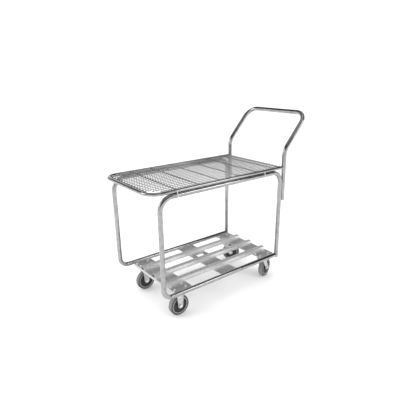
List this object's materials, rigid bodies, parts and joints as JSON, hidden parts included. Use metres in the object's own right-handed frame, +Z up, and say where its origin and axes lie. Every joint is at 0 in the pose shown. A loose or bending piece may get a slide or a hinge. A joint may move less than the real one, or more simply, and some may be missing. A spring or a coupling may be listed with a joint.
{
  "type": "platform trolley",
  "caption": "Two-deck platform trolley with bent tube side frames, a wire top deck, a ribbed steel lower deck, a slanted push handle, and fixed and swivelling casters.",
  "frame": {"origin": "on the floor, under the middle of the overall length and width", "axes": "+X towards the front, away from the handle; +Y to the left of someone facing the front; +Z up"},
  "size_m": [1.1803, 0.539, 1.098],
  "materials": {
    "chrome_tube": "bright chrome plate on welded steel tube, lightly brushed by wear",
    "plated_wire": "bright plate on welded wire",
    "plated_sheet": "zinc plated sheet steel, semi-bright",
    "caster_steel": "zinc plated pressed steel",
    "bright_fastener": "bright zinc plate",
    "wheel_centre": "moulded dark plastic",
    "rubber_tread": "matte dark grey rubber, dusty on the tread"
  },
  "bodies": {
    "frame": {"side_frame_left": "chrome_tube", "side_frame_right": "chrome_tube", "push_handle": "chrome_tube", "deck_rim": "chrome_tube", "deck_rear_bar": "plated_wire", "wire_deck": "plated_wire", "lower_panel_rear": "plated_sheet", "lower_panel_middle": "plated_sheet", "lower_panel_front": "plated_sheet", "lower_edge_strip_left": "plated_sheet", "lower_edge_strip_right": "plated_sheet", "lower_rib_left": "plated_sheet", "lower_rib_centre": "plated_sheet", "lower_rib_right": "plated_sheet", "front_left_fork": "caster_steel", "front_left_axle_bolt": "bright_fastener", "front_left_axle_nut": "bright_fastener", "front_left_sleeve": "bright_fastener", "rear_left_top_plate": "caster_steel", "rear_left_ball_race": "bright_fastener", "rear_left_king_pin": "bright_fastener", "front_left_bolt_front_inner": "bright_fastener", "rear_left_bolt_front_inner": "bright_fastener", "front_left_bolt_front_outer": "bright_fastener", "rear_left_bolt_front_outer": "bright_fastener", "front_left_bolt_rear_inner": "bright_fastener", "rear_left_bolt_rear_inner": "bright_fastener", "front_left_bolt_rear_outer": "bright_fastener", "rear_left_bolt_rear_outer": "bright_fastener", "front_right_fork": "caster_steel", "front_right_axle_bolt": "bright_fastener", "front_right_axle_nut": "bright_fastener", "front_right_sleeve": "bright_fastener", "rear_right_top_plate": "caster_steel", "rear_right_ball_race": "bright_fastener", "rear_right_king_pin": "bright_fastener", "front_right_bolt_front_inner": "bright_fastener", "rear_right_bolt_front_inner": "bright_fastener", "front_right_bolt_front_outer": "bright_fastener", "rear_right_bolt_front_outer": "bright_fastener", "front_right_bolt_rear_inner": "bright_fastener", "rear_right_bolt_rear_inner": "bright_fastener", "front_right_bolt_rear_outer": "bright_fastener", "rear_right_bolt_rear_outer": "bright_fastener"},
    "front_left_wheel": {"front_left_hub": "wheel_centre", "front_left_tyre": "rubber_tread"},
    "rear_left_swivel": {"rear_left_fork": "caster_steel", "rear_left_axle_bolt": "bright_fastener", "rear_left_axle_nut": "bright_fastener", "rear_left_sleeve": "bright_fastener"},
    "rear_left_wheel": {"rear_left_hub": "wheel_centre", "rear_left_tyre": "rubber_tread"},
    "front_right_wheel": {"front_right_hub": "wheel_centre", "front_right_tyre": "rubber_tread"},
    "rear_right_swivel": {"rear_right_fork": "caster_steel", "rear_right_axle_bolt": "bright_fastener", "rear_right_axle_nut": "bright_fastener", "rear_right_sleeve": "bright_fastener"},
    "rear_right_wheel": {"rear_right_hub": "wheel_centre", "rear_right_tyre": "rubber_tread"}
  },
  "joints": [
    {"name": "front_left_wheel_spin", "type": "hinge", "parent": "frame", "child": "front_left_wheel", "pos_m": [0.387, 0.189, 0.0625], "axis": [0, 1, 0], "continuous": true},
    {"name": "front_right_wheel_spin", "type": "hinge", "parent": "frame", "child": "front_right_wheel", "pos_m": [0.387, -0.189, 0.0625], "axis": [0, 1, 0], "continuous": true},
    {"name": "rear_left_swivel_turn", "type": "hinge", "parent": "frame", "child": "rear_left_swivel", "pos_m": [-0.295, 0.189, 0.1567], "axis": [0, 0, 1], "continuous": true},
    {"name": "rear_left_wheel_spin", "type": "hinge", "parent": "rear_left_swivel", "child": "rear_left_wheel", "pos_m": [-0.3378, 0.17509, 0.0625], "axis": [0.309, -0.9511, 0], "continuous": true},
    {"name": "rear_right_swivel_turn", "type": "hinge", "parent": "frame", "child": "rear_right_swivel", "pos_m": [-0.295, -0.189, 0.1567], "axis": [0, 0, 1], "continuous": true},
    {"name": "rear_right_wheel_spin", "type": "hinge", "parent": "rear_right_swivel", "child": "rear_right_wheel", "pos_m": [-0.32452, -0.15504, 0.0625], "axis": [-0.7547, -0.6561, 0], "continuous": true}
  ]
}
